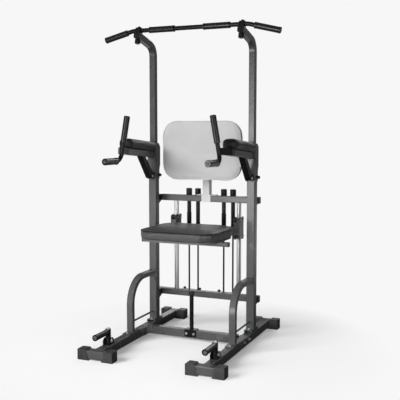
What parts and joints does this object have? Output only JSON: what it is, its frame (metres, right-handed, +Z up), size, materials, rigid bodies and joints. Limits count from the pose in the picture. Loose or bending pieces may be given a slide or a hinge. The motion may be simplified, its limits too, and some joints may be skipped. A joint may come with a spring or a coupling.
{
  "type": "power tower",
  "caption": "Free-standing exercise tower: bent uprights carry a pull-up bar, padded dip arms and push-up handles, with a padded seat on rollers assisted by elastic bands",
  "frame": {"origin": "middle of the base on the floor, at the centre of the bounding box seen from above", "axes": "+X to the right of someone facing the tower, +Y to the rear, +Z up"},
  "size_m": [1.1132, 1.062, 1.89],
  "materials": {
    "grey_paint": "semi-gloss dark grey powder coat",
    "black_paint": "satin black powder coat",
    "black_plastic": "moulded black plastic",
    "black_rubber": "smooth black rubber",
    "foam_grip": "closed-cell foam sleeve",
    "black_vinyl": "grained black vinyl",
    "pale_vinyl": "pale grey vinyl",
    "pale_paint": "pale grey powder coat",
    "board": "board stained dark grey",
    "chrome": "polished chrome",
    "zinc_steel": "zinc-plated steel"
  },
  "bodies": {
    "frame": {"base_rail_left": "grey_paint", "base_rail_right": "grey_paint", "foot_caps": "black_plastic", "front_beam": "grey_paint", "stop_post": "black_paint", "stop_bumper": "black_rubber", "lower_upright_left": "grey_paint", "lower_upright_right": "grey_paint", "upright_collars": "black_plastic", "front_brace_left": "grey_paint", "front_brace_right": "grey_paint", "tie_rods": "grey_paint", "pushup_handle_left": "black_paint", "pushup_handle_right": "black_paint", "pushup_grips": "foam_grip", "dip_arm_left": "grey_paint", "dip_arm_right": "grey_paint", "arm_struts": "black_paint", "arm_pad_left": "black_vinyl", "arm_pad_right": "black_vinyl", "dip_handle_left": "black_paint", "dip_handle_right": "black_paint", "dip_grips": "foam_grip", "upper_cross_bar": "grey_paint", "lower_cross_bar": "grey_paint", "bar_brackets": "grey_paint", "bar_end_caps": "black_plastic", "guide_rods": "chrome", "band_rods": "black_paint", "band_anchors": "grey_paint", "band_caps": "black_plastic", "anchor_pegs": "black_paint", "elastic_bands_left": "black_rubber", "elastic_bands_right": "black_rubber", "frame_bolts": "zinc_steel", "backrest_saddle": "pale_paint"},
    "carriage": {"slider_left": "grey_paint", "slider_right": "grey_paint", "roller_axles": "zinc_steel", "carriage_frame": "grey_paint", "seat_tube_caps": "black_plastic", "seat_board": "board", "seat_pad": "black_vinyl", "band_catch": "black_paint"},
    "top_frame": {"upper_upright_left": "grey_paint", "upper_upright_right": "grey_paint", "pullup_bar": "black_paint", "pullup_grips": "foam_grip", "bar_saddles": "black_paint", "bar_knobs": "black_plastic"},
    "backrest": {"backrest_post": "pale_paint", "backrest_board": "board", "backrest_pad": "pale_vinyl"},
    "rollers_upper_front": {"rollers_upper_front": "black_plastic"},
    "rollers_upper_rear": {"rollers_upper_rear": "black_plastic"},
    "rollers_lower_front": {"rollers_lower_front": "black_plastic"},
    "rollers_lower_rear": {"rollers_lower_rear": "black_plastic"}
  },
  "joints": [
    {"name": "carriage_slide", "type": "slide", "parent": "frame", "child": "carriage", "axis": [0, 0, 1], "range_m": [-0.3, 0.06], "stiffness_N_per_m": 1500, "springref_m": 0.1124, "deforming": ["elastic_bands_left", "elastic_bands_right"]},
    {"name": "top_frame_slide", "type": "slide", "parent": "frame", "child": "top_frame", "axis": [0, 0, 1], "range_m": [0, 0.2]},
    {"name": "backrest_lift", "type": "slide", "parent": "frame", "child": "backrest", "axis": [0, 0, 1], "range_m": [0, 0.12]},
    {"name": "rollers_upper_front_spin", "type": "hinge", "parent": "carriage", "child": "rollers_upper_front", "pos_m": [0, 0.274, 0.722], "axis": [1, 0, 0], "range_deg": [-343.8, 1719]},
    {"name": "rollers_upper_rear_spin", "type": "hinge", "parent": "carriage", "child": "rollers_upper_rear", "pos_m": [0, 0.322, 0.722], "axis": [1, 0, 0], "range_deg": [-1719, 343.8]},
    {"name": "rollers_lower_front_spin", "type": "hinge", "parent": "carriage", "child": "rollers_lower_front", "pos_m": [0, 0.274, 0.616], "axis": [1, 0, 0], "range_deg": [-343.8, 1719]},
    {"name": "rollers_lower_rear_spin", "type": "hinge", "parent": "carriage", "child": "rollers_lower_rear", "pos_m": [0, 0.322, 0.616], "axis": [1, 0, 0], "range_deg": [-1719, 343.8]}
  ],
  "couplings": [
    {"joint": "rollers_upper_front_spin", "follows": "carriage_slide", "rad_per_m": -100},
    {"joint": "rollers_upper_rear_spin", "follows": "carriage_slide", "rad_per_m": 100},
    {"joint": "rollers_lower_front_spin", "follows": "carriage_slide", "rad_per_m": -100},
    {"joint": "rollers_lower_rear_spin", "follows": "carriage_slide", "rad_per_m": 100}
  ]
}
